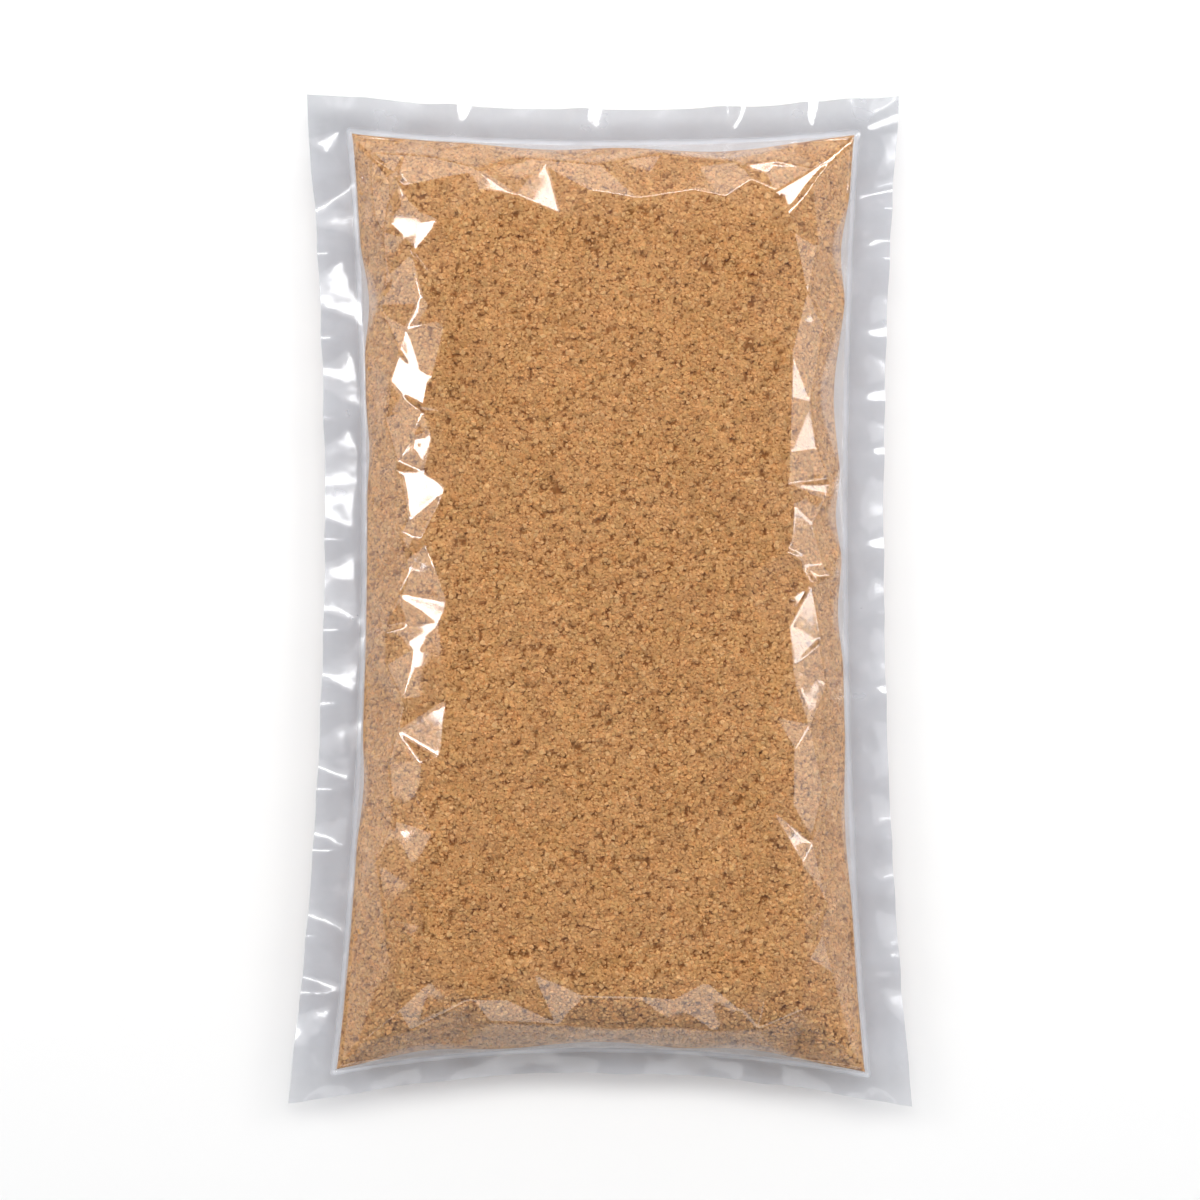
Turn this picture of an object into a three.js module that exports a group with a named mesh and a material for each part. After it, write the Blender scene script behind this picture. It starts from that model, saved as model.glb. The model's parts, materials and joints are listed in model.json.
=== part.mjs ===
// A clear pouch of breading mix, heat-sealed on all four sides and lying flat on its back.
// Millimetres, +Z up. The origin is the middle of the bag's footprint, on the table.
// +Y is the long way of the bag, and the shown side faces +Z.

import * as THREE from 'three';

// ---- driving dimensions, mm ----

// the bag's four outer corners, as they lie
const CORNERS = {
  topLeft: [-118.2, 203.6],
  topRight: [120.2, 202.8],
  bottomRight: [125.4, -203.6],
  bottomLeft: [-125.4, -202.4],
};

// how far the middle of each side is drawn in by the filling
const SIDE_SAG = { left: 10.6, right: 8.3, top: 5.8, bottom: 12.6 };

// the flat welded band round the filling
const SEAL_WIDTH = { left: 16.4, right: 16.2, top: 14.4, bottom: 10.4 };
const SEAL_THICKNESS = 1.0;

// the filled pillow
const PILLOW_HEIGHT = 47.0;
const SEAM_HEIGHT = 19.0;
const CROWN_RISE = 2.0;        // the extra height of the middle of the top
const TOP_SHOULDER = 40.0;     // from the seam in to the level top
const BASE_SHOULDER = 27.0;    // from the seam in to where the bag touches the table
const SHOULDER_POWER = 2.2;
const SHOULDER_TIP = 0.78;     // under 1 makes the film meet the seam less steeply
const HIP_SHARPNESS = 1.6;     // higher gives sharper hips from the corners

// the welded band hangs a little, and is gathered into pleats
const BAND_DROOP = 2.2;
const PLEAT_HEIGHT = 3.4;
const PLEAT_PULL = 1.3;        // how far a pleat draws the outer edge in
const PLEAT_FULL_WIDTH = 13.0; // a pleat this wide has the full height

// tucks in the pillow's shoulder, where the film is drawn in towards a pleat
const TUCK_DEPTH = 2.0;
const TUCK_REACH = 30.0;       // from the seam inwards

// pleats and tucks on each side: the middle's place along the side, and the width
const PLEATS = {
  left: [[170, 14], [140, 9], [106, 12], [73, 11], [24, 8], [-12, 7], [-42, 12], [-76, 9],
    [-101, 7], [-135, 9], [-158, 8]],
  right: [[156, 12], [135, 16], [104, 8], [78, 9], [56, 8], [18, 11], [-5, 7], [-40, 8],
    [-96, 8], [-118, 8], [-147, 10]],
  top: [[-60, 12], [-7, 12], [49, 12], [82, 8], [100, 12]],
  bottom: [[-97, 7], [-66, 9], [8, 12], [65, 12], [101, 10]],
};
const TUCKS = {
  left: [[140, 13], [117, 9], [88, 18], [64, 10], [40, 15], [13, 14], [-14, 12], [-89, 12]],
  right: [[163, 16], [110, 14], [46, 12], [13, 12], [-30, 16], [-96, 14], [-150, 12]],
  top: [[-74, 14], [-30, 16], [20, 14], [60, 14]],
  bottom: [[-60, 16], [-10, 18], [45, 16], [80, 12]],
};

// ---- mesh steps across the bag ----
const BAND_STEPS = 2;
const SHOULDER_STEPS = 5;
const LEVEL_STEPS_ACROSS = 19;
const LEVEL_STEPS_ALONG = 51;

// ---- plan of the bag ----
// u runs from -1 at the left edge to 1 at the right, v from -1 at the bottom to 1 at the top

const mix = (a, b, t) => a + (b - a) * t;
const arch = (t) => 1 - t * t;

function sideX(side, v) {
  const [low, high] = side === 'left'
    ? [CORNERS.bottomLeft[0], CORNERS.topLeft[0]]
    : [CORNERS.bottomRight[0], CORNERS.topRight[0]];
  const inwards = side === 'left' ? 1 : -1;
  return mix(low, high, (v + 1) / 2) + inwards * SIDE_SAG[side] * arch(v);
}

function sideY(side, u) {
  const [low, high] = side === 'bottom'
    ? [CORNERS.bottomLeft[1], CORNERS.bottomRight[1]]
    : [CORNERS.topLeft[1], CORNERS.topRight[1]];
  const inwards = side === 'bottom' ? 1 : -1;
  return mix(low, high, (u + 1) / 2) + inwards * SIDE_SAG[side] * arch(u);
}

function planPoint(u, v) {
  const x = mix(sideX('left', v), sideX('right', v), (u + 1) / 2);
  const y = mix(sideY('bottom', u), sideY('top', u), (v + 1) / 2);
  return [x, y];
}

const HALF_WIDTH = (sideX('right', 0) - sideX('left', 0)) / 2;
const HALF_LENGTH = (sideY('top', 0) - sideY('bottom', 0)) / 2;

// u or v of each seam
const SEAM = {
  left: -1 + SEAL_WIDTH.left / HALF_WIDTH,
  right: 1 - SEAL_WIDTH.right / HALF_WIDTH,
  bottom: -1 + SEAL_WIDTH.bottom / HALF_LENGTH,
  top: 1 - SEAL_WIDTH.top / HALF_LENGTH,
};

// each side's distance in from its seam, negative on the welded band
function seamDistances(u, v) {
  return {
    left: (u - SEAM.left) * HALF_WIDTH,
    right: (SEAM.right - u) * HALF_WIDTH,
    bottom: (v - SEAM.bottom) * HALF_LENGTH,
    top: (SEAM.top - v) * HALF_LENGTH,
  };
}

// ---- heights ----

// 0 at the seam, rising round the shoulder to 1 on the level part
function shoulder(distance, width) {
  const left = 1 - Math.min(Math.max(distance / width, 0), 1);
  return (1 - left ** SHOULDER_POWER) ** SHOULDER_TIP;
}

// a smooth minimum of all four shoulders, which gives hips at the corners
function fullness(distances, width) {
  let sum = 1;
  for (const distance of Object.values(distances)) {
    const height = shoulder(distance, width);
    if (height <= 0) {
      return 0;
    }
    sum += height ** -HIP_SHARPNESS - 1;
  }
  return sum ** (-1 / HIP_SHARPNESS);
}

// a rounded tent over each fold in the list, 1 on a fold's crest
function foldProfile(place, [middle, width]) {
  const t = Math.abs(place - middle) / width;
  return t < 1 ? (1 - t) ** 2 * (1 + 2 * t) : 0;
}

// how strongly the pleats of one side lift the band, from 0 to 1
function pleatLift(side, place) {
  let lift = 0;
  for (const pleat of PLEATS[side]) {
    lift += foldProfile(place, pleat) * Math.min(pleat[1] / PLEAT_FULL_WIDTH, 1);
  }
  return lift;
}

function tuckDepth(side, place, distance) {
  const inwards = distance / TUCK_REACH;
  if (inwards <= 0 || inwards >= 1) {
    return 0;
  }
  let depth = 0;
  for (const tuck of TUCKS[side]) {
    depth += foldProfile(place, tuck);
  }
  return depth * TUCK_DEPTH * Math.sin(Math.PI * inwards);
}

// the side whose band or shoulder a point lies on, and the point's place along that side
function nearestSide(distances, x, y) {
  const side = Object.keys(distances).reduce((a, b) => (distances[a] <= distances[b] ? a : b));
  const place = side === 'left' || side === 'right' ? y : x;
  return [side, place, distances[side]];
}

// outwards across the welded band: 0 at the seam and 1 at the outer edge
function bandPlace(side, distance) {
  return Math.min(Math.max(-distance / SEAL_WIDTH[side], 0), 1);
}

function bandHeight(side, place, distance) {
  const outwards = bandPlace(side, distance);
  const lift = PLEAT_HEIGHT * pleatLift(side, place) * outwards;
  return SEAM_HEIGHT - BAND_DROOP * outwards ** 2 + lift;
}

// a point of the bag's upper or under film
function bagPoint(u, v, isTop) {
  let [x, y] = planPoint(u, v);
  const distances = seamDistances(u, v);
  const [side, place, distance] = nearestSide(distances, x, y);
  const half = SEAL_THICKNESS / 2;
  if (distance <= 0) {
    const isCorner = Math.abs(u) === 1 && Math.abs(v) === 1;
    const pull = isCorner ? 0 : PLEAT_PULL * pleatLift(side, place) * bandPlace(side, distance);
    x -= (side === 'left' ? -1 : side === 'right' ? 1 : 0) * pull;
    y -= (side === 'bottom' ? -1 : side === 'top' ? 1 : 0) * pull;
    const middle = bandHeight(side, place, distance);
    return [x, y, isTop ? middle + half : middle - half];
  }
  if (isTop) {
    const level = PILLOW_HEIGHT - CROWN_RISE + CROWN_RISE * arch(u) * arch(v);
    const rise = (level - SEAM_HEIGHT - half) * fullness(distances, TOP_SHOULDER);
    return [x, y, SEAM_HEIGHT + half + rise - tuckDepth(side, place, distance)];
  }
  const fall = (SEAM_HEIGHT - half) * fullness(distances, BASE_SHOULDER);
  return [x, y, SEAM_HEIGHT - half - fall];
}

// ---- the mesh ----

// mesh lines from one outer edge to the other, close together on the shoulders
function meshLines(lowSeam, highSeam, shoulderWidth, levelSteps) {
  const lines = [];
  const addRun = (from, to, steps) => {
    for (let i = 0; i < steps; i += 1) {
      lines.push(mix(from, to, i / steps));
    }
  };
  addRun(-1, lowSeam, BAND_STEPS);
  addRun(lowSeam, lowSeam + shoulderWidth, SHOULDER_STEPS);
  addRun(lowSeam + shoulderWidth, highSeam - shoulderWidth, levelSteps);
  addRun(highSeam - shoulderWidth, highSeam, SHOULDER_STEPS);
  addRun(highSeam, 1, BAND_STEPS);
  lines.push(1);
  return lines;
}

// a box of one layer, whose upper and lower faces become the two films
function bagGeometry() {
  const across = meshLines(
    SEAM.left, SEAM.right, BASE_SHOULDER / HALF_WIDTH, LEVEL_STEPS_ACROSS);
  const along = meshLines(
    SEAM.bottom, SEAM.top, BASE_SHOULDER / HALF_LENGTH, LEVEL_STEPS_ALONG);
  const columns = across.length - 1;
  const rows = along.length - 1;
  const geometry = new THREE.BoxGeometry(columns, rows, 1, columns, rows, 1);
  const position = geometry.attributes.position;
  for (let i = 0; i < position.count; i += 1) {
    const u = across[Math.round(position.getX(i) + columns / 2)];
    const v = along[Math.round(position.getY(i) + rows / 2)];
    const [x, y, z] = bagPoint(u, v, position.getZ(i) > 0);
    position.setXYZ(i, x, y, z);
  }
  geometry.computeVertexNormals();
  return geometry;
}

function sealedBag() {
  const material = new THREE.MeshStandardMaterial({
    color: 0xc69058,
    roughness: 0.3,
    metalness: 0,
  });
  const mesh = new THREE.Mesh(bagGeometry(), material);
  mesh.name = 'sealed_bag';
  return mesh;
}

const bag = new THREE.Group();
bag.add(sealedBag());

export default bag;
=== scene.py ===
"""The looks of a clear pouch of breading mix that lies flat on its back.

The film is cut flat as a pattern, laid over the filled form and simulated as cloth, so that its
spare length gathers into pleats and tucks. The mix is a core with relief that follows the film
from inside, and loose crumbs of several kinds lie on it. Everything is in metres, +Z up.
"""

import json
import math
import random

import bpy
import numpy as np
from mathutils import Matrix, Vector, geometry, noise

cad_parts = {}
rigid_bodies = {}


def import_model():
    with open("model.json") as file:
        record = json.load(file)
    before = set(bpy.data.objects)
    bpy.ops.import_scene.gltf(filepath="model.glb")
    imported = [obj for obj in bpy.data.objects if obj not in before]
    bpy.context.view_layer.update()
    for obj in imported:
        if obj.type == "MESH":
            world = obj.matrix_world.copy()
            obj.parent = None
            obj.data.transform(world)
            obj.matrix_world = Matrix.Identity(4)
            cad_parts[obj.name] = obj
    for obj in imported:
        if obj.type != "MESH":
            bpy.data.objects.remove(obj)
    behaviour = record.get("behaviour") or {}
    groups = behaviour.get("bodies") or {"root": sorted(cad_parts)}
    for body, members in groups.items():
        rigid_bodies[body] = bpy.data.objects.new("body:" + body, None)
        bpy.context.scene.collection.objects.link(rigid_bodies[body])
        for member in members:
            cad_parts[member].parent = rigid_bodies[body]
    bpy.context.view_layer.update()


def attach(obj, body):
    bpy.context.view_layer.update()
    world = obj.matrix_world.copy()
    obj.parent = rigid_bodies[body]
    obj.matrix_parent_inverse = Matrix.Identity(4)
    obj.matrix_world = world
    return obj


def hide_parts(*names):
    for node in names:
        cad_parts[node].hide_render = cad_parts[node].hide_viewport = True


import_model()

bl_info = {
    "name": "Clear pouch of breading mix",
    "version": (1, 0, 0),
    "blender": (4, 5, 0),
    "location": "View3D > Sidebar > Breading pouch",
    "description": "Builds a welded clear pouch filled with breading mix, with its stage",
    "category": "Add Mesh",
}

CAD_NODE = "sealed_bag"
BODY = "root"
SIDES = ("left", "right", "bottom", "top")
UPRIGHT_SIDES = ("left", "right")  # the sides that run along Y
SEAM_SLACK = 1e-7  # a point this close to a seam is on it
MM = 0.001
PLEAT_TIP = 0.25  # a pleat's width at the seam, as a share of its width at the outer edge

# Pleats in the welded rim and tucks in the shoulder, on each side: the middle's place along the
# side and the width. They are where the film starts to fold, and the simulation does the rest.
PLEATS = {
    "left": (
        (0.170, 0.014), (0.140, 0.009), (0.106, 0.012), (0.073, 0.011), (0.024, 0.008),
        (-0.012, 0.007), (-0.042, 0.012), (-0.076, 0.009), (-0.101, 0.007), (-0.135, 0.009),
        (-0.158, 0.008),
    ),
    "right": (
        (0.156, 0.012), (0.135, 0.016), (0.104, 0.008), (0.078, 0.009), (0.056, 0.008),
        (0.018, 0.011), (-0.005, 0.007), (-0.040, 0.008), (-0.096, 0.008), (-0.118, 0.008),
        (-0.147, 0.010),
    ),
    "top": ((-0.060, 0.012), (-0.007, 0.012), (0.049, 0.012), (0.082, 0.008), (0.100, 0.012)),
    "bottom": ((-0.097, 0.007), (-0.066, 0.009), (0.008, 0.012), (0.065, 0.012), (0.101, 0.010)),
}
TUCKS = {
    "left": (
        (0.140, 0.013), (0.117, 0.009), (0.088, 0.018), (0.064, 0.010), (0.040, 0.015),
        (0.013, 0.014), (-0.014, 0.012), (-0.089, 0.012),
    ),
    "right": (
        (0.163, 0.016), (0.110, 0.014), (0.046, 0.012), (0.013, 0.012), (-0.030, 0.016),
        (-0.096, 0.014), (-0.150, 0.012),
    ),
    "top": ((-0.074, 0.014), (-0.030, 0.016), (0.020, 0.014), (0.060, 0.014)),
    "bottom": ((-0.060, 0.016), (-0.010, 0.018), (0.045, 0.016), (0.080, 0.012)),
}

# Rings of crease points: the place between the seam and the net's end, how far the ring stands
# out from the smooth form, and how unevenly, both as shares of the crease height.
CREASE_RINGS = (
    (0.00, 0.0, 0.0), (0.26, 0.5, 0.8), (0.50, 1.1, 0.4), (0.75, 0.3, 0.3), (1.00, 0.0, 0.1),
)

# Flat facets of the upper film, in millimetres on the table: how steeply each rises to the right
# and to the far end, then its corners in order. Each mirrors a light to whoever looks down.
FACETS = (
    ((0.36, 0.05), (
        (-81, 167.6), (-77.8, 163.2), (-75.4, 158.4), (-71.8, 153.2), (-70.2, 148.8),
        (-74.6, 147.6), (-73.8, 137.6), (-77.4, 142.8), (-79.4, 147.6), (-83, 148.4),
        (-81.8, 152.4), (-79, 156), (-78.2, 158.8), (-79.4, 163.2))),
    ((0.36, 0.02), (
        (-79.4, 97.6), (-74.6, 92.4), (-73.4, 88.4), (-71.4, 91.2), (-66.2, 88), (-68.6, 85.2),
        (-72.6, 85.2), (-70.2, 76.4), (-78.2, 80.8), (-75.8, 84), (-75.4, 86.4), (-83, 86.8),
        (-76.6, 88.4), (-78.6, 92.8))),
    ((0.36, 0.00), (
        (-81, 51.2), (-69.8, 50.4), (-71.4, 44.4), (-71.8, 39.2), (-73.4, 32.4), (-79, 26.8),
        (-75.4, 32.4), (-73.4, 38.8), (-73, 43.6), (-77.8, 47.2))),
    ((0.36, -0.02), (
        (-69, 22.8), (-68.6, 20.4), (-71.4, 17.6), (-73.8, 16), (-74.2, 12), (-79, 3.2),
        (-75.8, 11.2), (-75.8, 16.4), (-72.2, 19.2))),
    ((0.36, -0.05), (
        (-85, -12.4), (-76.2, -9.6), (-63, -9.2), (-68.2, -14.4), (-71.8, -20), (-72.6, -27.2),
        (-77.8, -39.6), (-74.2, -26.8), (-73.4, -20), (-78.6, -14.8))),
    ((0.52, 0.00), ((-91, 176), (-84, 168), (-83.4, 158), (-86, 146), (-89.5, 152), (-91, 166))),
    ((0.02, -0.62), ((-80, 169.4), (-77, 177), (-67, 176), (-50, 171.6), (-51, 168.8))),
    ((-0.62, 0.01), ((74.2, 45.6), (91.8, 46.4), (90.2, 45.2), (89.4, 40.4), (83, 42.8))),
    ((-0.62, 0.01), ((83.8, 5.6), (87.8, -16), (86.2, -15.8), (82.8, 4.8))),
    ((-0.70, 0.01), (
        (74.2, 18.8), (82.2, 17.2), (88.6, 13.6), (92.6, 9.2), (86.2, 8), (79.8, 14))),
    ((-0.34, -0.33), (
        (88.4, 172), (82.2, 164.8), (74.6, 152.8), (71.4, 160), (69, 161.6), (84.6, 171.2))),
    ((-0.53, -0.52), ((101, 182.4), (91.4, 173.2), (89.2, 174.6))),
    ((0.00, -0.56), ((56.2, 172.8), (69.8, 174.4), (68.6, 172), (65.8, 168.8), (59.8, 170.4))),
)

# Creases of the upper film, in millimetres on the table. They stand out as ridges.
RIDGES = (
    ((-74, 136), (-87.8, 116.8), (-70.6, 119.6)),
    ((-87.8, 116.8), (-76.6, 106.8), (-79.4, 99)),
    ((-69.8, 74.6), (-73.8, 65), (-80.2, 54.8), (-81, 52.6)),
    ((-79, 25.6), (-74, 24.6), (-70, 23.8)),
    ((-79, 2.2), (-83, -5), (-84.6, -11.4)),
    ((-77.8, -41), (-80, -52), (-71, -64), (-82, -86), (-66, -92), (-74, -112), (-70, -128),
     (-82, -146), (-96, -176)),
    ((-102, 188), (-91, 178), (-81, 169)),
    ((-48, 169.6), (-34, 176), (-2, 173), (26, 178.6), (54.6, 174)),
    ((69, 162.6), (60, 166), (57, 171.6)),
    ((84, 164), (86, 140), (82, 122), (87, 100), (83, 78), (86, 60), (91, 47.6)),
    ((90.6, 39.4), (84, 30), (76, 24), (74, 20)),
    ((87, 8.6), (84.4, 6.6)),
    ((87, -17), (90, -34), (83, -50), (88, -74), (84, -96), (90, -120), (82, -142), (100, -180)),
)

# Where the film stands off from the mix beside a seam: the middle's place along the side, half
# the gap's length and its width, in millimetres. The film looks hazy there.
GAPS = {
    "left": ((120, 24, 7.0), (60, 20, 3.0), (-75, 26, 4.0)),
    "right": ((140, 24, 7.0), (82, 42, 10.5), (34, 20, 7.0), (-5, 24, 5.0), (-90, 40, 3.5)),
    "top": ((-20, 40, 4.5), (48, 50, 8.0)),
    "bottom": ((-70, 34, 6.0), (0, 40, 5.0), (60, 34, 5.5)),
}


# ---- settings that a user would change ----


def length(name, description, default):
    return bpy.props.FloatProperty(
        name=name, description=description, default=default, unit="LENGTH", precision=5
    )


def corner(name, description, default):
    return bpy.props.FloatVectorProperty(
        name=name, description=description, default=default, size=2, unit="LENGTH", precision=5
    )


def ratio(name, description, default):
    return bpy.props.FloatProperty(name=name, description=description, default=default)


def count(name, description, default):
    return bpy.props.IntProperty(name=name, description=description, default=default, min=1)


def colour(name, description, default):
    return bpy.props.FloatVectorProperty(
        name=name, description=description, default=default, size=3, subtype="COLOR", min=0, max=1
    )


class PouchSizes(bpy.types.PropertyGroup):
    """The filled pouch as it lies."""

    top_left: corner("Top left", "Outer corner of the welded rim", (-0.1182, 0.2036))
    top_right: corner("Top right", "Outer corner of the welded rim", (0.1202, 0.2028))
    bottom_right: corner("Bottom right", "Outer corner of the welded rim", (0.1254, -0.2036))
    bottom_left: corner("Bottom left", "Outer corner of the welded rim", (-0.1254, -0.2024))
    sag_left: length("Left sag", "How far the filling draws this side in", 0.0106)
    sag_right: length("Right sag", "How far the filling draws this side in", 0.0083)
    sag_top: length("Top sag", "How far the filling draws this side in", 0.0058)
    sag_bottom: length("Bottom sag", "How far the filling draws this side in", 0.0126)
    seal_left: length("Left weld", "Width of the welded rim", 0.0164)
    seal_right: length("Right weld", "Width of the welded rim", 0.0162)
    seal_top: length("Top weld", "Width of the welded rim", 0.0144)
    seal_bottom: length("Bottom weld", "Width of the welded rim", 0.0104)
    height: length("Height", "Highest point above the table", 0.0465)
    crown: length("Crown", "How much higher the middle is than the shoulders' edge", 0.0020)
    seam_height: length("Seam height", "The welded rim's height above the table", 0.0190)
    table_gap: length("Table gap", "Clearance under the film where it lies flat", 0.0002)
    top_shoulder: length("Top shoulder", "From the seam in to the level top", 0.0400)
    base_shoulder: length("Base shoulder", "From the seam in to the level base", 0.0270)
    shoulder_power: ratio("Shoulder power", "Roundness of the shoulders", 2.2)
    shoulder_tip: ratio("Shoulder tip", "Under 1, the film meets the seam less steeply", 0.78)
    hip_sharpness: ratio("Hip sharpness", "Sharpness of the ridges from the corners", 1.6)


class FilmSettings(bpy.types.PropertyGroup):
    """The film: its pattern, its folds and its finish."""

    pattern_width: length("Pattern width", "From seam to seam, before filling", 0.222)
    pattern_length: length("Pattern length", "From seam to seam, before filling", 0.398)
    weave_step: length("Step", "Spacing of the mesh lines on the pattern", 0.0027)
    band_droop: length("Rim droop", "How far the rim's outer edge hangs", 0.0022)
    pleat_height: length("Pleat height", "Height of a full pleat at the rim's edge", 0.0034)
    pleat_full_width: length("Full pleat", "A pleat this wide has the full height", 0.0130)
    tuck_depth: length("Tuck depth", "Depth at which a shoulder tuck starts", 0.0028)
    tuck_reach: length("Tuck reach", "From the seam in to the end of a tuck", 0.0300)
    unevenness: length("Unevenness", "Small random hills that the folds start from", 0.0005)
    steps: count("Steps", "Frames that the cloth simulation runs for", 30)
    hold: ratio("Hold", "How firmly the filling holds loose film in place", 0.02)
    crease_reach: length("Crease reach", "From the seam in to the last facets", 0.046)
    crease_spacing: length("Crease spacing", "Between crease points along a side", 0.0210)
    crease_height: length("Crease height", "How far crease points stray from the form", 0.0013)
    crease_softness: length("Crease softness", "Roundness of the creases", 0.0006)
    crease_calm: ratio("Crease calm", "How much taut facets smooth other folds away", 0.80)
    facet_lift: length("Facet lift", "How far mirroring facets stand out from the form", 0.0002)
    ridge_lift: length("Ridge lift", "How far ridges stand out from the form", 0.0010)
    facet_clearance: length("Facet clearance", "Room round a mirroring facet's corner", 0.0075)
    crease_seed: bpy.props.IntProperty(
        name="Crease seed", description="Seed of the crease points", default=5)
    keep_below: length("Fold size", "Folds much wider than this are smoothed away", 0.018)
    tint: colour("Tint", "What the film lets through", (0.96, 0.96, 0.97))
    # the rim's tints are partly its two welded films' own tint and partly painted shade, standing
    # in for the darker surroundings the rim reflects: lighter at the near end, darker at the far
    # end
    side_tint: colour("Side tint", "What the rim's sides let through", (0.675, 0.685, 0.722))
    near_tint: colour("Near tint", "What the rim's near end lets through", (0.765, 0.770, 0.792))
    far_tint: colour("Far tint", "What the rim's far end lets through", (0.575, 0.580, 0.602))
    wrinkle: length("Wrinkle", "Height of the rim's fine wrinkles", 0.00010)
    wrinkle_size: length("Wrinkle size", "Width of the rim's fine wrinkles", 0.0065)
    veil: colour("Veil", "Colour of the film's faint milkiness", (0.86, 0.89, 0.96))
    haze: ratio("Haze", "Milkiness of film that stands off from the mix", 0.13)
    gloss: ratio("Gloss", "Mirrored light, as a share of a single surface's", 1.8)


class MixSettings(bpy.types.PropertyGroup):
    """The breading mix in the pouch."""

    film_gap: length("Film gap", "From the film to the packed mix under the crumbs", 0.0016)
    edge_gap: length("Edge gap", "How far the mix stays back from the seam everywhere", 0.0002)
    gap_reach: length("Gap reach", "From the seam in to where the mix fills the film", 0.0240)
    gap_share: ratio("Gap share", "How much of a gap's width the mix stays back", 0.35)
    lump_size: length("Lump size", "Size of the packed mix's soft lumps", 0.0055)
    lump_height: length("Lump height", "Height of those lumps", 0.0008)
    hollow_size: length("Hollow size", "Spacing of the small pits", 0.0022)
    hollow_depth: length("Hollow depth", "Depth of the small pits", 0.0017)
    crumb_small: length("Smallest crumb", "Length of the smallest coarse crumb", 0.0012)
    crumb_large: length("Largest crumb", "Length of the largest coarse crumb", 0.0032)
    crumb_spacing: length("Crumb spacing", "Least distance between two coarse crumbs", 0.0015)
    crumb_roughness: ratio("Crumb roughness", "Unevenness of a crumb, as a share of it", 0.22)
    fine_small: length("Smallest fine crumb", "Length of the smallest fine crumb", 0.0007)
    fine_large: length("Largest fine crumb", "Length of the largest fine crumb", 0.0018)
    fine_spacing: length("Fine crumb spacing", "Least distance between two fine crumbs", 0.0015)
    base: colour("Packed mix", "Colour of the packed fine mix", (0.61, 0.326, 0.124))
    gold: colour("Gold crumbs", "Colour of the commonest crumbs", (0.69, 0.384, 0.150))
    tan: colour("Tan crumbs", "Colour of the duller crumbs", (0.64, 0.347, 0.130))
    pale: colour("Pale crumbs", "Colour of the lightest crumbs", (0.73, 0.425, 0.182))
    brown: colour("Brown crumbs", "Colour of the toasted crumbs", (0.57, 0.290, 0.099))
    seed: bpy.props.IntProperty(name="Seed", description="Seed of every random draw", default=11)


class StageSettings(bpy.types.PropertyGroup):
    """Floor, lights and camera."""

    floor: colour("Floor", "Colour of the floor", (0.93, 0.93, 0.93))
    floor_size: length("Floor size", "Side of the floor", 8.0)
    camera_height: length("Camera height", "Above the welded rim", 1.60)
    view_width: length("View width", "What the picture's width takes in at the rim", 0.480)
    overhead: ratio("Overhead light", "Power of the wide light overhead, in watts", 24.0)
    side: ratio("Side lights", "Power of the light on the right, in watts", 10.5)
    mirrored: ratio("Mirrored lights", "Strength of the lights that the film mirrors", 1.0)
    tent: ratio("Tent", "Strength of the even light from the sides", 0.50)


SETTINGS = {
    "pouch_sizes": PouchSizes,
    "pouch_film": FilmSettings,
    "pouch_mix": MixSettings,
    "pouch_stage": StageSettings,
}


# ---- the filled form ----


def smooth_step(value):
    value = min(max(value, 0.0), 1.0)
    return value * value * (3 - 2 * value)


def between(low, high, share):
    return low + (high - low) * share


def arch(value):
    return 1 - value * value


def fold_profile(place, folds):
    """The rounded tent of each fold that covers a place along a side, and the fold's width."""
    for middle, width in folds:
        away = abs(place - middle) / width
        if away < 1:
            yield (1 - away) ** 2 * (1 + 2 * away), width


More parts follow.
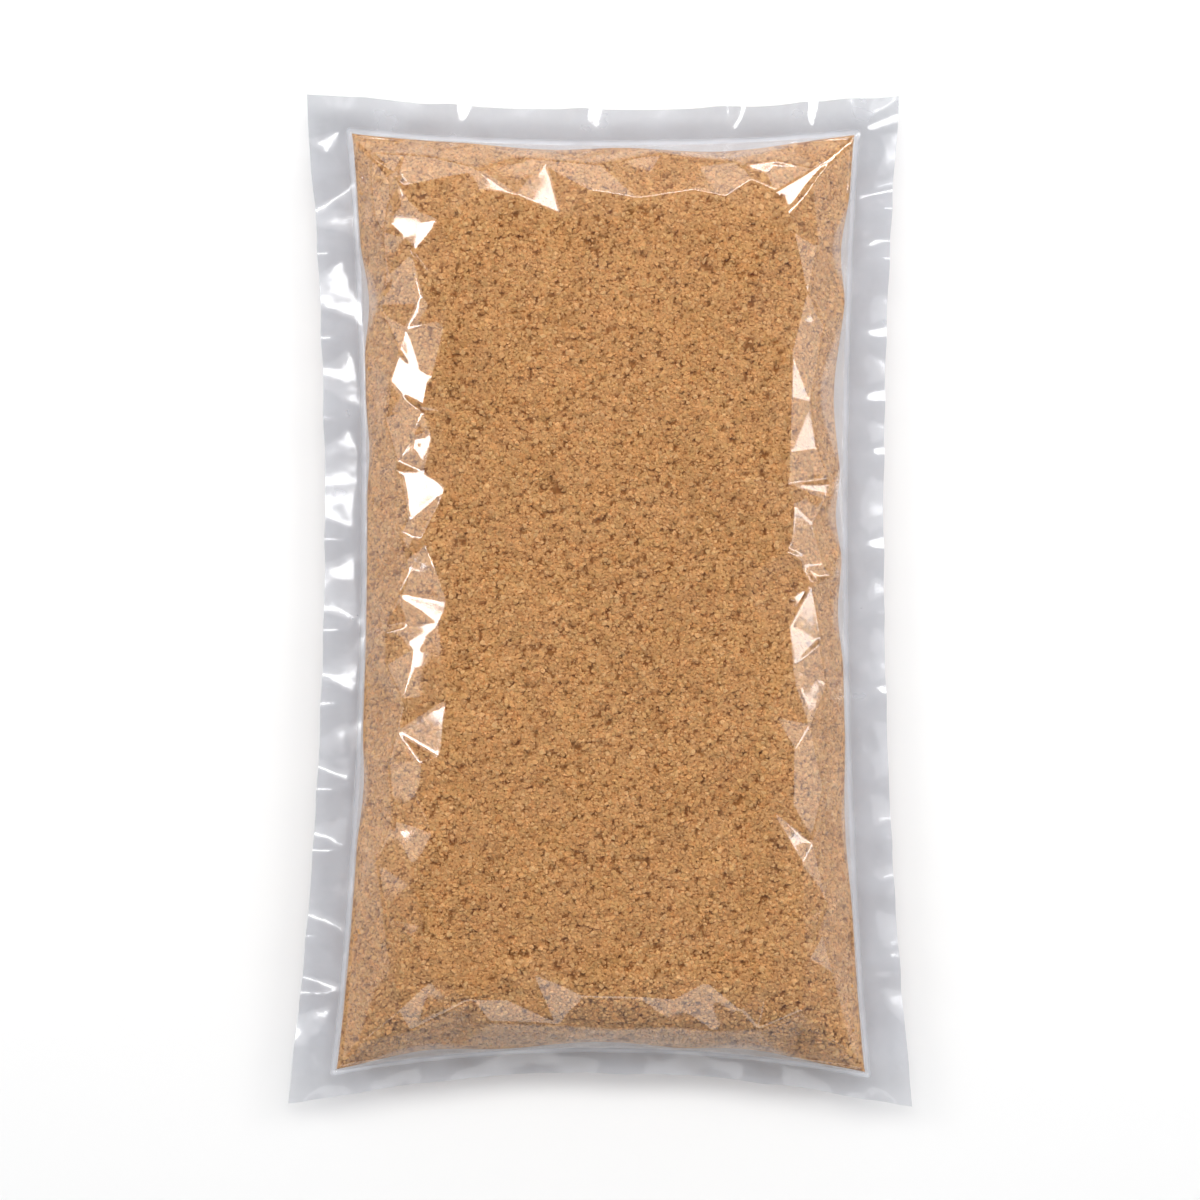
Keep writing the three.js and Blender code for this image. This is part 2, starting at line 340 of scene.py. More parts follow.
class PouchForm:
    """Where the filled pouch's film lies, as a function of its place on the pouch.

    u runs from -1 at the left edge to 1 at the right, and v from -1 at the bottom to 1 at the top.
    """

    def __init__(self, scene):
        sizes, film = scene.pouch_sizes, scene.pouch_film
        self.corner = {
            name: tuple(getattr(sizes, name))
            for name in ("top_left", "top_right", "bottom_right", "bottom_left")
        }
        self.sag = {side: getattr(sizes, "sag_" + side) for side in SIDES}
        self.seal = {side: getattr(sizes, "seal_" + side) for side in SIDES}
        self.height, self.crown, self.seam_height = sizes.height, sizes.crown, sizes.seam_height
        self.table_gap = sizes.table_gap
        self.top_shoulder, self.base_shoulder = sizes.top_shoulder, sizes.base_shoulder
        self.power, self.tip, self.hips = (
            sizes.shoulder_power, sizes.shoulder_tip, sizes.hip_sharpness
        )
        self.droop, self.pleat_height = film.band_droop, film.pleat_height
        self.pleat_full_width = film.pleat_full_width
        self.tuck_depth, self.tuck_reach = film.tuck_depth, film.tuck_reach
        self.half_width = (self.side_x("right", 0) - self.side_x("left", 0)) / 2
        self.half_length = (self.side_y("top", 0) - self.side_y("bottom", 0)) / 2
        self.seam = {
            "left": -1 + self.seal["left"] / self.half_width,
            "right": 1 - self.seal["right"] / self.half_width,
            "bottom": -1 + self.seal["bottom"] / self.half_length,
            "top": 1 - self.seal["top"] / self.half_length,
        }

    def side_x(self, side, v):
        low, high = self.corner["bottom_" + side][0], self.corner["top_" + side][0]
        inwards = 1 if side == "left" else -1
        return between(low, high, (v + 1) / 2) + inwards * self.sag[side] * arch(v)

    def side_y(self, side, u):
        low, high = self.corner[side + "_left"][1], self.corner[side + "_right"][1]
        inwards = 1 if side == "bottom" else -1
        return between(low, high, (u + 1) / 2) + inwards * self.sag[side] * arch(u)

    def plan(self, u, v):
        x = between(self.side_x("left", v), self.side_x("right", v), (u + 1) / 2)
        y = between(self.side_y("bottom", u), self.side_y("top", u), (v + 1) / 2)
        return x, y

    def unplan(self, x, y):
        """The u and v of a place on the table, found by closing in on them."""
        u = v = 0.0
        for _ in range(4):
            low, high = self.side_y("bottom", u), self.side_y("top", u)
            v = (y - low) / (high - low) * 2 - 1
            low, high = self.side_x("left", v), self.side_x("right", v)
            u = (x - low) / (high - low) * 2 - 1
        return u, v

    def distances(self, u, v):
        """How far a place is in from each seam. It is negative on the welded rim."""
        return {
            "left": (u - self.seam["left"]) * self.half_width,
            "right": (self.seam["right"] - u) * self.half_width,
            "bottom": (v - self.seam["bottom"]) * self.half_length,
            "top": (self.seam["top"] - v) * self.half_length,
        }

    def shoulder(self, distance, width):
        left = 1 - min(max(distance / width, 0.0), 1.0)
        return (1 - left**self.power) ** self.tip

    def fullness(self, distances, width):
        """A smooth minimum of the four shoulders, which gives hips at the corners."""
        total = 1.0
        for distance in distances.values():
            height = self.shoulder(distance, width)
            if height <= 0:
                return 0.0
            total += height**-self.hips - 1
        return total ** (-1 / self.hips)

    def pleat_lift(self, side, place, out):
        """How strongly pleats lift the rim. They narrow from its edge, out = 1, to the seam."""
        share = between(PLEAT_TIP, 1, out)
        folds = fold_profile(place, [(middle, width * share) for middle, width in PLEATS[side]])
        return sum(tent * min(width / share / self.pleat_full_width, 1) for tent, width in folds)

    def tuck(self, side, place, distance):
        inwards = distance / self.tuck_reach
        if not 0 < inwards < 1:
            return 0.0
        tents = sum(tent for tent, _ in fold_profile(place, TUCKS[side]))
        return tents * self.tuck_depth * math.sin(math.pi * inwards)

    def smooth_height(self, u, v, upper):
        """The height of the filled part, without tucks."""
        distances = self.distances(u, v)
        if not upper:
            fall = self.seam_height - self.table_gap
            return self.seam_height - fall * self.fullness(distances, self.base_shoulder)
        level = self.height - self.crown + self.crown * arch(u) * arch(v)
        rise = (level - self.seam_height) * self.fullness(distances, self.top_shoulder)
        return self.seam_height + rise

    def place(self, u, v, upper):
        """A point of the upper or the under film, and its distance in from the nearest seam."""
        x, y = self.plan(u, v)
        distances = self.distances(u, v)
        side = min(distances, key=distances.get)
        distance = distances[side]
        along = y if side in UPRIGHT_SIDES else x
        if distance <= 0:
            out = min(-distance / self.seal[side], 1.0)
            lift = self.pleat_height * self.pleat_lift(side, along, out) * out
            return (x, y, self.seam_height - self.droop * out**2 + lift), distance
        height = self.smooth_height(u, v, upper)
        if upper:
            height -= self.tuck(side, along, distance)
        return (x, y, height), distance


# ---- small helpers ----


def only(*objects):
    """Deselects all, then selects these objects and makes the first one active."""
    bpy.ops.object.select_all(action="DESELECT")
    for thing in objects:
        thing.select_set(True)
    bpy.context.view_layer.objects.active = objects[0]


def coordinates(mesh):
    values = np.empty(len(mesh.vertices) * 3)
    mesh.vertices.foreach_get("co", values)
    return values.reshape(-1, 3)


def set_coordinates(mesh, values):
    mesh.vertices.foreach_set("co", np.asarray(values, dtype=float).ravel())
    mesh.update()


def write_attribute(mesh, name, values, kind="FLOAT"):
    layer = mesh.attributes.get(name) or mesh.attributes.new(name, kind, "POINT")
    layer.data.foreach_set("value", values)


def read_attribute(mesh, name, kind=float):
    values = np.empty(len(mesh.vertices), dtype=kind)
    mesh.attributes[name].data.foreach_get("value", values)
    return values


def vertex_normals(mesh):
    values = np.empty(len(mesh.vertices) * 3)
    mesh.vertex_normals.foreach_get("vector", values)
    return values.reshape(-1, 3)


def pick_faces(thing, wanted):
    """Leaves the object in edit mode with only the faces selected that wanted(face) picks."""
    only(thing)
    bpy.ops.object.mode_set(mode="EDIT")
    bpy.ops.mesh.select_mode(type="FACE")
    bpy.ops.mesh.select_all(action="DESELECT")
    bpy.ops.object.mode_set(mode="OBJECT")
    for face in thing.data.polygons:
        face.select = wanted(face)
    bpy.ops.object.mode_set(mode="EDIT")


def apply_modifiers(thing):
    only(thing)
    for modifier in list(thing.modifiers):
        bpy.ops.object.modifier_apply(modifier=modifier.name)


def blurred(grid, width):
    """A grid of numbers smoothed along its rows and columns by a bell curve."""
    reach = max(int(3 * width), 1)
    steps = np.arange(-reach, reach + 1)
    weights = np.exp(-0.5 * (steps / width) ** 2)
    weights /= weights.sum()
    for axis in (0, 1):
        size = grid.shape[axis]
        rim = [(reach, reach) if axis == k else (0, 0) for k in range(grid.ndim)]
        padded = np.pad(grid, rim, mode="reflect")
        shifted = (padded.take(range(k, k + size), axis=axis) for k in range(len(steps)))
        grid = sum(weight * part for weight, part in zip(weights, shifted))
    return grid


# ---- the film's pattern ----


PROFILE_POINTS = 400  # with which the film's run over the form is measured
WELD_DISTANCE = 1e-6


class Pattern:
    """The pouch's flat pattern: its mesh lines, their flat places and their places on the form."""

    def __init__(self, scene, form):
        film = scene.pouch_film
        step = film.weave_step
        across, along = film.pattern_width, film.pattern_length
        self.columns, self.rows = max(round(across / step), 8), max(round(along / step), 8)
        self.rims = {side: max(round(form.seal[side] / step), 2) for side in SIDES}
        middle_u = self.even_steps(form, self.columns, True)
        middle_v = self.even_steps(form, self.rows, False)
        self.u = self.lines(-1, middle_u, 1, "left", "right")
        self.v = self.lines(-1, middle_v, 1, "bottom", "top")
        flat_x = np.linspace(-across / 2, across / 2, self.columns + 1)
        flat_y = np.linspace(-along / 2, along / 2, self.rows + 1)
        left, right = flat_x[0] - form.seal["left"], flat_x[-1] + form.seal["right"]
        bottom, top = flat_y[0] - form.seal["bottom"], flat_y[-1] + form.seal["top"]
        self.x = self.lines(left, flat_x, right, "left", "right")
        self.y = self.lines(bottom, flat_y, top, "bottom", "top")

    def lines(self, low, middle, high, low_side, high_side):
        first = np.linspace(low, middle[0], self.rims[low_side] + 1)[:-1]
        last = np.linspace(middle[-1], high, self.rims[high_side] + 1)[1:]
        return np.concatenate([first, middle, last])

    def even_steps(self, form, steps, is_across):
        """Places from seam to seam that are evenly spaced along the film, not along the table."""
        low, high = ("left", "right") if is_across else ("bottom", "top")
        values = np.linspace(form.seam[low], form.seam[high], PROFILE_POINTS)
        points = []
        for value in values:
            u, v = (value, 0) if is_across else (0, value)
            x, y = form.plan(u, v)
            distances = form.distances(u, v)
            rise = (form.height - form.seam_height) * form.fullness(distances, form.top_shoulder)
            points.append((x, y, rise))
        gaps = np.linalg.norm(np.diff(np.array(points), axis=0), axis=1)
        run = np.concatenate([[0], np.cumsum(gaps)])
        return np.interp(np.linspace(0, run[-1], steps + 1), run, values)

    def is_inside(self, column, row):
        """True within the seams, seams left out."""
        return (
            self.rims["left"] < column < self.rims["left"] + self.columns
            and self.rims["bottom"] < row < self.rims["bottom"] + self.rows
        )


def pattern_mesh(pattern):
    """The upper sheet with the rim as one grid, and the under sheet as a copy of its inside."""
    last_column, last_row = len(pattern.u) - 1, len(pattern.v) - 1
    bpy.ops.mesh.primitive_grid_add(x_subdivisions=last_column, y_subdivisions=last_row, size=2)
    pouch = bpy.context.object
    pouch.name = "pouch_film"
    mesh = pouch.data
    places = coordinates(mesh)
    columns = np.rint((places[:, 0] + 1) / 2 * last_column).astype(int)
    rows = np.rint((places[:, 1] + 1) / 2 * last_row).astype(int)
    write_attribute(mesh, "column", columns, "INT")
    write_attribute(mesh, "row", rows, "INT")
    first_copy = len(mesh.vertices)

    left, bottom = pattern.rims["left"], pattern.rims["bottom"]

    def is_within_seams(face):
        low_column = min(columns[k] for k in face.vertices)
        low_row = min(rows[k] for k in face.vertices)
        return (
            left <= low_column < left + pattern.columns
            and bottom <= low_row < bottom + pattern.rows
        )

    pick_faces(pouch, is_within_seams)
    bpy.ops.mesh.duplicate()
    bpy.ops.mesh.flip_normals()
    bpy.ops.object.mode_set(mode="OBJECT")
    under = (np.arange(len(mesh.vertices)) >= first_copy).astype(int)
    write_attribute(mesh, "under", under, "INT")
    return pouch


def lay_over_form(pouch, pattern, form):
    """Moves the pattern's points onto the filled form, and welds the two sheets along the seam."""
    mesh = pouch.data
    columns, rows = read_attribute(mesh, "column", int), read_attribute(mesh, "row", int)
    under = read_attribute(mesh, "under", int)
    places, depths = [], []
    for column, row, is_under in zip(columns, rows, under):
        upper = not (is_under and pattern.is_inside(column, row))
        place, distance = form.place(pattern.u[column], pattern.v[row], upper)
        places.append(place)
        depths.append(distance)
    set_coordinates(mesh, places)
    write_attribute(mesh, "seam_distance", depths)
    only(pouch)
    bpy.ops.object.mode_set(mode="EDIT")
    bpy.ops.mesh.select_all(action="SELECT")
    bpy.ops.mesh.remove_doubles(threshold=WELD_DISTANCE)
    bpy.ops.object.mode_set(mode="OBJECT")


UNDER_REACH = 0.6  # the under film's crease reach, as a share of the upper film's
FAR_AWAY = (9.0, 9.0)  # stands in for listed points where there are none
MERGE_DISTANCE = 1e-7
ALONG_SCATTER, ASIDE_SCATTER = 0.34, 0.12  # of crease points, as shares of their spacing


class CreaseNet:
    """Crease points over the shoulder, between which the film is drawn taut in flat facets."""

    def __init__(self, form, film, upper):
        self.form, self.upper = form, upper
        draws = random.Random(film.crease_seed + int(upper))
        self.reach = film.crease_reach * (1 if upper else UNDER_REACH)
        points, self.heights, kept = [], [], []
        for rise, corners in FACETS if upper else ():
            ids = range(len(points), len(points) + len(corners))
            kept += zip(ids, [*ids[1:], ids[0]])
            self.add_facet(points, corners, rise, film.facet_lift)
        for corners in RIDGES if upper else ():
            ids = range(len(points), len(points) + len(corners))
            kept += zip(ids, ids[1:])
            for x, y in corners:
                u, v = form.unplan(x * MM, y * MM)
                points.append((u * form.half_width, v * form.half_length))
                self.heights.append(form.smooth_height(u, v, True) + film.ridge_lift)
        by_hand = np.array(points or [FAR_AWAY])
        for share, lift, scatter in CREASE_RINGS:
            for x, y in self.ring(share * self.reach, film.crease_spacing, draws):
                if 0 < share < 1 and np.hypot(*(by_hand - (x, y)).T).min() < film.facet_clearance:
                    continue
                points.append((x, y))
                bulge = (lift + draws.uniform(-scatter, scatter)) * film.crease_height
                height = form.smooth_height(x / form.half_width, y / form.half_length, upper)
                self.heights.append(height + (bulge if upper else -bulge))
        triangles = geometry.delaunay_2d_cdt(
            [Vector(p) for p in points], kept, [], 0, MERGE_DISTANCE)
        self.points = np.array([tuple(p) for p in triangles[0]])
        self.heights = np.array([
            self.heights[ids[0]] if ids
            else form.smooth_height(x / form.half_width, y / form.half_length, upper)
            for ids, (x, y) in zip(triangles[3], self.points)
        ])
        self.triangles = triangles[2]

    def add_facet(self, points, corners, rise, lift):
        """Corners of a flat facet that leans as told and stands out from the smooth form."""
        form = self.form
        places = [(x * MM, y * MM) for x, y in corners]
        middle = np.mean(places, axis=0)
        height = form.smooth_height(*form.unplan(*middle), True) + lift
        for x, y in places:
            u, v = form.unplan(x, y)
            points.append((u * form.half_width, v * form.half_length))
            self.heights.append(
                height + (x - middle[0]) * rise[0] + (y - middle[1]) * rise[1])

    def ring(self, inset, spacing, draws):
        """Uneven places along a rectangle that runs this far in from the seams."""
        form = self.form
        left, right = form.seam["left"] * form.half_width, form.seam["right"] * form.half_width
        bottom = form.seam["bottom"] * form.half_length
        top = form.seam["top"] * form.half_length
        left, right, bottom, top = left + inset, right - inset, bottom + inset, top - inset
        corners = ((left, bottom), (right, bottom), (right, top), (left, top))
        for start, end in zip(corners, corners[1:] + corners[:1]):
            run = math.dist(start, end)
            steps = max(round(run / spacing), 2)
            along = ((end[0] - start[0]) / run, (end[1] - start[1]) / run)
            for step in range(steps):
                free = step > 0
                shift = draws.uniform(-ALONG_SCATTER, ALONG_SCATTER) * spacing * free
                aside = draws.uniform(-ASIDE_SCATTER, ASIDE_SCATTER) * spacing
                aside *= free and inset > 0
                place = step * run / steps + shift
                yield (
                    start[0] + along[0] * place - along[1] * aside,
                    start[1] + along[1] * place + along[0] * aside,
                )

    def height(self, x, y):
        """Heights of the taut facets at many places, and 0 outside the net."""
        result = np.zeros(len(x))
        for triangle in self.triangles:
            a, b, c = (self.points[k] for k in triangle)
            area = (b[0] - a[0]) * (c[1] - a[1]) - (c[0] - a[0]) * (b[1] - a[1])
            if abs(area) < 1e-12:
                continue
            second = ((x - a[0]) * (c[1] - a[1]) - (c[0] - a[0]) * (y - a[1])) / area
            third = ((b[0] - a[0]) * (y - a[1]) - (x - a[0]) * (b[1] - a[1])) / area
            first = 1 - second - third
            inside = (first > -1e-6) & (second > -1e-6) & (third > -1e-6)
            ha, hb, hc = (self.heights[k] for k in triangle)
            result[inside] = (first * ha + second * hb + third * hc)[inside]
        return result


CREASE_FADE = 0.3  # the inner share of the crease reach over which the facets fade out
CREASE_START = 0.0025  # from the seam in to where the facets have their full height


def crease_film(mesh, form, film, upper, chosen):
    """Draws the chosen points of the upper or under film taut between crease points."""
    net = CreaseNet(form, film, upper)
    places = coordinates(mesh)
    soft = film.crease_softness
    spots = [form.unplan(x, y) for x, y, _ in places[chosen]]
    depths = np.array([min(form.distances(u, v).values()) for u, v in spots])
    smooth = np.array([form.smooth_height(u, v, upper) for u, v in spots])
    x, y = (np.array(spots) * (form.half_width, form.half_length)).T
    taut = np.mean([
        net.height(x + dx * soft, y + dy * soft)
        for dx, dy in ((0, 0), (1, 0), (-1, 0), (0, 1), (0, -1))
    ], axis=0)
    fade = np.clip((net.reach - depths) / (CREASE_FADE * net.reach), 0, 1)
    fade = fade**2 * (3 - 2 * fade) * np.clip(depths / CREASE_START, 0, 1)
    folds = places[chosen, 2] - smooth
    places[chosen, 2] = (
        smooth + (taut - smooth) * fade + folds * (1 - film.crease_calm * fade))
    set_coordinates(mesh, places)


SIMULATION_SCALE = 10  # the solver is steadier on a pouch metres long


# How far in from the seam the mix starts to hold the film, and over how far it comes to hold it
# fully: in the upper film, then in the under film.
HOLD_FROM = (0.018, 0.016)
HOLD_OVER = (0.034, 0.012)
RIM_HOLD = 0.6  # how firmly the rim is held, as a share of loose film


def hold_weights(depths, under, hold):
    """How firmly each point is held: little near the seams, and fully where the mix backs it."""
    fade_from, fade_over = np.array(HOLD_FROM)[under], np.array(HOLD_OVER)[under]
    firm = np.clip((depths - fade_from) / fade_over, 0, 1) ** 2
    return np.where(depths <= 0, hold * RIM_HOLD, hold + (1 - hold) * firm)


# The noise that gives the small hills: how fine it is at the simulation's scale, and how far off
# the under film reads it, so that its hills aren't the upper film's.
HILL_FINENESS, UNDER_SHIFT = 7, 9


def simulate_film(pouch, pattern, film):
    """Lets the film, cut to its flat pattern, fold where the filled form leaves it spare length."""
    mesh = pouch.data
    columns, rows = read_attribute(mesh, "column", int), read_attribute(mesh, "row", int)
    under = read_attribute(mesh, "under", int)
    depths = read_attribute(mesh, "seam_distance")
    start = coordinates(mesh) * SIMULATION_SCALE
    for index, point in enumerate(start):
        spot = Vector(point) * HILL_FINENESS + Vector((0, 0, UNDER_SHIFT * under[index]))
        point[2] += noise.noise(spot) * film.unevenness * SIMULATION_SCALE
    set_coordinates(mesh, start)

    pouch.shape_key_add(name="Laid over the form")
    flat = pouch.shape_key_add(name="Cut flat")
    seam_height = start[depths <= 0][:, 2].mean()
    cut = np.stack([
        pattern.x[columns] * SIMULATION_SCALE,
        pattern.y[rows] * SIMULATION_SCALE,
        np.full(len(columns), seam_height),
    ], axis=1)
    flat.data.foreach_set("co", cut.ravel())
    flat.value = 0

    hold = pouch.vertex_groups.new(name="held")
    for index, weight in enumerate(hold_weights(depths, under, film.hold)):
        hold.add([index], weight, "REPLACE")
    inside = pouch.vertex_groups.new(name="pressed from inside")
    inside.add([int(k) for k in np.nonzero(depths > 0)[0]], 1.0, "REPLACE")

    only(pouch)
    modifier = pouch.modifiers.new("Film", "CLOTH")
    cloth = modifier.settings
    cloth.quality = 6
    cloth.mass = 0.3
    cloth.tension_stiffness = cloth.compression_stiffness = 40
    cloth.shear_stiffness = 20
    cloth.bending_model = "ANGULAR"
    cloth.bending_stiffness = 0.8
    cloth.tension_damping = cloth.compression_damping = 25
    cloth.shear_damping = 15
    cloth.bending_damping = 0.5
    cloth.air_damping = 2
    cloth.rest_shape_key = flat
    cloth.vertex_group_mass = hold.name
    cloth.pin_stiffness = 1
    cloth.use_pressure = True
    cloth.uniform_pressure_force = 0.5
    cloth.vertex_group_pressure = inside.name
    cloth.effector_weights.gravity = 0
    modifier.collision_settings.use_collision = False
    modifier.point_cache.frame_end = film.steps
    scene = bpy.context.scene
    for step in range(1, film.steps + 1):
        scene.frame_set(step)
    bpy.ops.object.convert(target="MESH")
    scene.frame_set(1)

    mesh = pouch.data
    moved = coordinates(mesh) / SIMULATION_SCALE
    laid = start / SIMULATION_SCALE
    set_coordinates(mesh, keep_folds(moved, laid, columns, rows, under, depths, pattern, film))


UNDER_DRIFT_REACH = 0.015  # from the seam in to where the under film has a drift of its own
# how much of its sideways motion the rim gives up, and from the seam in to where none is given up
OUTLINE_HOLD, OUTLINE_REACH = 0.65, 0.020


def keep_folds(moved, laid, columns, rows, under, depths, pattern, film):
    """Takes the broad drift out of the simulated film, so that it keeps the form's outline."""
    drift = moved - laid
    width = film.keep_below / film.weave_step
    shape = (len(pattern.v), len(pattern.u), 3)
    upper_grid = np.zeros(shape)
    upper_grid[rows[under == 0], columns[under == 0]] = drift[under == 0]
    on_seam = depths <= SEAM_SLACK
    upper_grid[rows[on_seam], columns[on_seam]] = drift[on_seam]
    under_grid = upper_grid.copy()
    under_grid[rows[under == 1], columns[under == 1]] = drift[under == 1]
    upper_blur, under_blur = blurred(upper_grid, width), blurred(under_grid, width)
    broad = upper_blur[rows, columns]
    share = np.clip(depths / UNDER_DRIFT_REACH, 0, 1)[:, None]
    under_broad = broad * (1 - share) + under_blur[rows, columns] * share
    inner_under = (under == 1) & (depths > SEAM_SLACK)
    broad[inner_under] = under_broad[inner_under]
    kept = moved - broad
    in_place = OUTLINE_HOLD * (1 - np.clip(depths / OUTLINE_REACH, 0, 1))[:, None]
    kept[:, :2] += (laid - kept)[:, :2] * in_place
    return kept


# ---- materials ----


def new_material(name):
    material = bpy.data.materials.new(name)
    material.use_nodes = True
    material.node_tree.nodes.clear()
    return material, material.node_tree


def add_node(tree, kind, inputs=None, **settings):
    node = tree.nodes.new(kind)
    for key, value in settings.items():
        setattr(node, key, value)
    for key, value in (inputs or {}).items():
        if isinstance(value, bpy.types.NodeSocket):
            tree.links.new(value, node.inputs[key])
        else:
            node.inputs[key].default_value = value
    return node


NOISE_ENDS = (0.30, 0.70)  # between which nearly all of a noise texture lies


def math_node(tree, operation, *values, **settings):
    """The result of a Math node."""
    node = add_node(
        tree, "ShaderNodeMath", dict(enumerate(values)), operation=operation, **settings)
    return node.outputs[0]


def map_range(tree, value, taken, given=(0.0, 1.0)):
    """The value, mapped from the range taken to the range given, and held within it."""
    node = add_node(
        tree, "ShaderNodeMapRange",
        {"Value": value, "From Min": taken[0], "From Max": taken[1],
         "To Min": given[0], "To Max": given[1]})
    return node.outputs["Result"]


def object_place(tree):
    return add_node(tree, "ShaderNodeTexCoord").outputs["Object"]


def noise_value(tree, place, scale, detail):
    node = add_node(
        tree, "ShaderNodeTexNoise", {"Vector": place, "Scale": scale, "Detail": detail})
    return node.outputs["Fac"]


def mesh_value(tree, name):
    """What a number kept on the mesh's points is here."""
    return add_node(tree, "ShaderNodeAttribute", attribute_name=name).outputs["Fac"]


def finish_material(tree, surface):
    output = add_node(tree, "ShaderNodeOutputMaterial")
    tree.links.new(surface.outputs[0], output.inputs["Surface"])


def opaque(rgb):
    return (*rgb, 1.0)


def ramp_node(tree, factor, stops):
    """A colour ramp: stops are (position, (r, g, b)) in order."""
    stops = list(stops)
    node = add_node(tree, "ShaderNodeValToRGB", {"Fac": factor})
    elements = node.color_ramp.elements
    while len(elements) > 1:
        elements.remove(elements[-1])
    elements[0].position, elements[0].color = stops[0][0], opaque(stops[0][1])
    for position, rgb in stops[1:]:
        elements.new(position).color = opaque(rgb)
    return node


# The rim's tints, partly its two welded films' own tint and partly painted shade that is lighter at
# the near end and darker at the far end, lie at these places along the bag, as shares of the way
# from its near end to its far end.
TINT_STOPS = (0.01, 0.08, 0.92, 0.99)
TINT_ENDS = (-0.200, 0.200)
CLOUD_FINENESS, CLOUD_DETAIL = 60.0, 3.0  # of the film's uneven milkiness
CLOUD_THIN, CLOUD_THICK = 0.6, 1.4  # its least and its most, as shares of the milkiness set
SEAM_LINE_ENDS = (-0.0020, -0.0004)  # where the milky line beside the seam fades in
HEAD_ON = 0.04  # what a clear surface mirrors when it is seen head-on
SLANT_POWER = 5.0  # how late it starts to mirror more as it is seen at a slant


def film_material(
        name, tint, veil, veil_share, gloss_share, roughness, seam_line=0.0, tints_and_shade_along=None,
        haze=0.0):
    """Clear film: it tints what is behind it, is faintly milky, and mirrors the lights."""
    material, tree = new_material(name)
    place = object_place(tree)
    clear = add_node(tree, "ShaderNodeBsdfTransparent", {"Color": opaque(tint)})
    # painted shade: the rim's tint changes along the bag, lighter at the near end and darker at the
    # far end
    if tints_and_shade_along:
        along = add_node(tree, "ShaderNodeSeparateXYZ", {0: place}).outputs["Y"]
        tint_and_shade_ramp = ramp_node(tree, map_range(tree, along, TINT_ENDS), zip(TINT_STOPS, tints_and_shade_along))
        tree.links.new(tint_and_shade_ramp.outputs["Color"], clear.inputs["Color"])
    milk = add_node(tree, "ShaderNodeBsdfDiffuse", {"Color": opaque(veil)})
    clouds = noise_value(tree, place, CLOUD_FINENESS, CLOUD_DETAIL)
    milk_share = map_range(
        tree, clouds, NOISE_ENDS, (veil_share * CLOUD_THIN, veil_share * CLOUD_THICK))
    if seam_line:
        line = map_range(
            tree, mesh_value(tree, "seam_distance"), SEAM_LINE_ENDS, (0.0, seam_line))
        milk_share = math_node(tree, "ADD", milk_share, line)
    if haze:
        milk_share = math_node(
            tree, "MULTIPLY_ADD", mesh_value(tree, "haze"), haze, milk_share)
    body = add_node(tree, "ShaderNodeMixShader", {"Fac": milk_share})
    tree.links.new(clear.outputs[0], body.inputs[1])
    tree.links.new(milk.outputs[0], body.inputs[2])
    mirror = add_node(
        tree, "ShaderNodeBsdfAnisotropic", {"Color": opaque((1, 1, 1)), "Roughness": roughness})
    facing = add_node(tree, "ShaderNodeLayerWeight", {"Blend": 0.5}).outputs["Facing"]
    slant = math_node(tree, "POWER", facing, SLANT_POWER)
    gloss = math_node(
        tree, "MULTIPLY_ADD", slant, gloss_share * (1 - HEAD_ON), gloss_share * HEAD_ON,
        use_clamp=True)
    whole = add_node(tree, "ShaderNodeMixShader", {"Fac": gloss})
    tree.links.new(body.outputs[0], whole.inputs[1])
    tree.links.new(mirror.outputs[0], whole.inputs[2])
    finish_material(tree, whole)
    return material


# shades of the mix from its darker to its lighter patches, and of single crumbs, as multipliers
PATCH_DARK, PATCH_LIGHT = (0.93, 0.91, 0.88), (1.04, 1.05, 1.07)
CRUMB_HUES = ((0.0, (1.03, 0.98, 0.92)), (0.5, (1.0, 1.0, 1.0)), (1.0, (0.98, 1.02, 0.98)))
# painted shade in the packed mix's pits and chinks, as multipliers from none to full
HOLLOW_SHADOW = ((0.0, (1, 1, 1)), (1.0, (0.50, 0.36, 0.19)))
SPECKLE = 0.10  # how much lighter or darker than its kind a crumb can be
PATCH_STOPS = (0.28, 0.50, 0.72)  # values of the broad noise at the dark, middle and light shades
PATCH_FINENESS, CRUMB_CELLS, GRAIN_FINENESS = 38.0, 480.0, 900.0  # to the metre
GRAIN_SHADES = (0.86, 1.12)
CHINK_SHADE_ENDS = (0.46, 0.36)  # values of the grain's noise at which a chink of painted shade starts and is full


def scaled(rgb, shares):
    return [min(part * share, 1) for part, share in zip(rgb, shares)]


